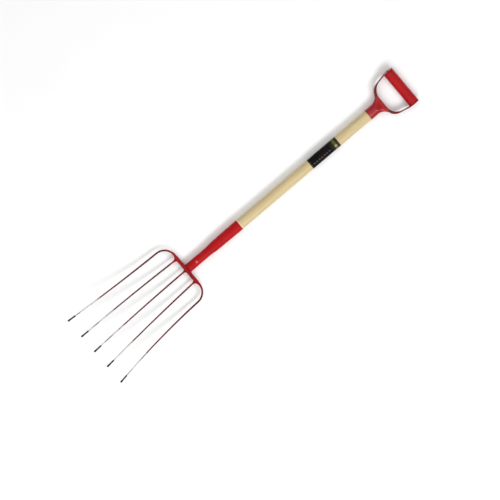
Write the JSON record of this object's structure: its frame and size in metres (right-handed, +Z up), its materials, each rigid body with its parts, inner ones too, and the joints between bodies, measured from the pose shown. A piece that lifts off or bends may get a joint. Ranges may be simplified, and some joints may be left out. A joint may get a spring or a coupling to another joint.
{
  "type": "hay fork",
  "caption": "Farm fork with slim curved steel tines welded to a bar, soft tip caps, a riveted conical socket, a round wooden shaft and a steel D-handle with a turning grip.",
  "frame": {"origin": "bottom centre of the whole fork's box, on the surface that it lies on", "axes": "+X along the shaft towards the grip, +Y to the right of the person holding it, +Z up, on the side that the tines curve towards"},
  "size_m": [1.2098, 0.2448, 0.0853],
  "materials": {
    "head_paint": "glossy red enamel",
    "tine_paint": "glossy red enamel on forged steel, bare ground steel towards the tips",
    "yoke_paint": "glossy red enamel",
    "grip_red": "semi-gloss red moulding",
    "shaft_wood": "clear-lacquered pale wood",
    "label_print": "printed film",
    "cap_black": "soft dipped vinyl",
    "plain_steel": "plain drawn tube"
  },
  "bodies": {
    "fork": {"bridge": "head_paint", "neck_plug": "head_paint", "socket": "head_paint", "socket_rivet": "head_paint", "shaft": "shaft_wood", "shaft_label": "label_print", "yoke_right": "yoke_paint", "yoke_left": "yoke_paint", "ferrule_screws": "yoke_paint", "grip_rod": "yoke_paint", "grip_spacer": "plain_steel", "tine_middle": "tine_paint", "tine_inner_right": "tine_paint", "tine_outer_right": "tine_paint", "tine_inner_left": "tine_paint", "tine_outer_left": "tine_paint"},
    "tip_cap_middle": {"tip_cap_middle": "cap_black"},
    "tip_cap_inner_right": {"tip_cap_inner_right": "cap_black"},
    "tip_cap_outer_right": {"tip_cap_outer_right": "cap_black"},
    "tip_cap_inner_left": {"tip_cap_inner_left": "cap_black"},
    "tip_cap_outer_left": {"tip_cap_outer_left": "cap_black"},
    "grip": {"grip_barrel": "grip_red", "grip_plugs": "grip_red"}
  },
  "joints": [
    {"name": "tip_cap_middle_pull", "type": "slide", "parent": "fork", "child": "tip_cap_middle", "axis": [-0.9468, 0, 0.3217], "range_m": [0, 0.035]},
    {"name": "tip_cap_inner_right_pull", "type": "slide", "parent": "fork", "child": "tip_cap_inner_right", "axis": [-0.946, 0.0413, 0.3214], "range_m": [0, 0.035]},
    {"name": "tip_cap_outer_right_pull", "type": "slide", "parent": "fork", "child": "tip_cap_outer_right", "axis": [-0.9415, 0.1057, 0.3199], "range_m": [0, 0.035]},
    {"name": "tip_cap_inner_left_pull", "type": "slide", "parent": "fork", "child": "tip_cap_inner_left", "axis": [-0.946, -0.0413, 0.3214], "range_m": [0, 0.035]},
    {"name": "tip_cap_outer_left_pull", "type": "slide", "parent": "fork", "child": "tip_cap_outer_left", "axis": [-0.9415, -0.1057, 0.3199], "range_m": [0, 0.035]},
    {"name": "grip_spin", "type": "hinge", "parent": "fork", "child": "grip", "pos_m": [0.58768, 0, 0.0172], "axis": [0, 1, 0], "continuous": true}
  ]
}
